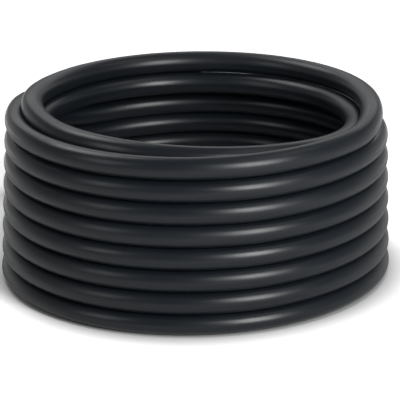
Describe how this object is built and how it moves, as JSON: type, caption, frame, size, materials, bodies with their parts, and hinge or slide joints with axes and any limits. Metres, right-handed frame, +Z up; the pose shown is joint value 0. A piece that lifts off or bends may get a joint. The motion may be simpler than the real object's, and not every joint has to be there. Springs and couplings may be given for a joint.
{
  "type": "soaker hose",
  "caption": "Upright coil of dark, satin-smooth soaker hose with a swivel inlet coupling and a screw cap on its far end, for watering beds at low pressure.",
  "frame": {"origin": "on the floor under the middle of the part's bounding box; the coil's own axis is 20.7 mm towards -Y and 5.3 mm towards +X of it", "axes": "+Z up along the coil's axis, +Y the way the inlet coupling points, -Y the side that the picture shows"},
  "size_m": [0.2899, 0.3234, 0.1337],
  "materials": {
    "hose": "satin, smooth",
    "sleeve": "rolled and crimped",
    "stem": "moulded",
    "grip": "moulded, fine grain",
    "disc": "moulded",
    "washer": "matt"
  },
  "bodies": {
    "hose": {"hose_coil": "hose", "hose_inlet_end": "hose", "hose_outlet_end": "hose", "inlet_sleeve": "sleeve", "inlet_stem": "stem", "outlet_sleeve": "sleeve", "outlet_stem": "stem"},
    "nut": {"swivel_nut": "grip", "flow_disc": "disc", "inlet_washer": "washer"},
    "cap_seal": {"cap_washer": "washer"},
    "cap": {"end_cap": "grip"}
  },
  "joints": [
    {"name": "nut_swivel", "type": "hinge", "parent": "hose", "child": "nut", "pos_m": [-0.129, 0.15568, 0.0165], "axis": [0, 1, 0], "continuous": true},
    {"name": "cap_travel", "type": "slide", "parent": "hose", "child": "cap_seal", "axis": [0.9615, 0.2559, -0.1001], "range_m": [0, 0.01105]},
    {"name": "cap_turn", "type": "hinge", "parent": "cap_seal", "child": "cap", "pos_m": [0.06237, -0.08363, 0.08079], "axis": [0.9615, 0.2559, -0.1001], "range_deg": [0, 1800]}
  ],
  "couplings": [
    {"joint": "cap_travel", "follows": "cap_turn", "m_per_rad": 0.00035173}
  ]
}
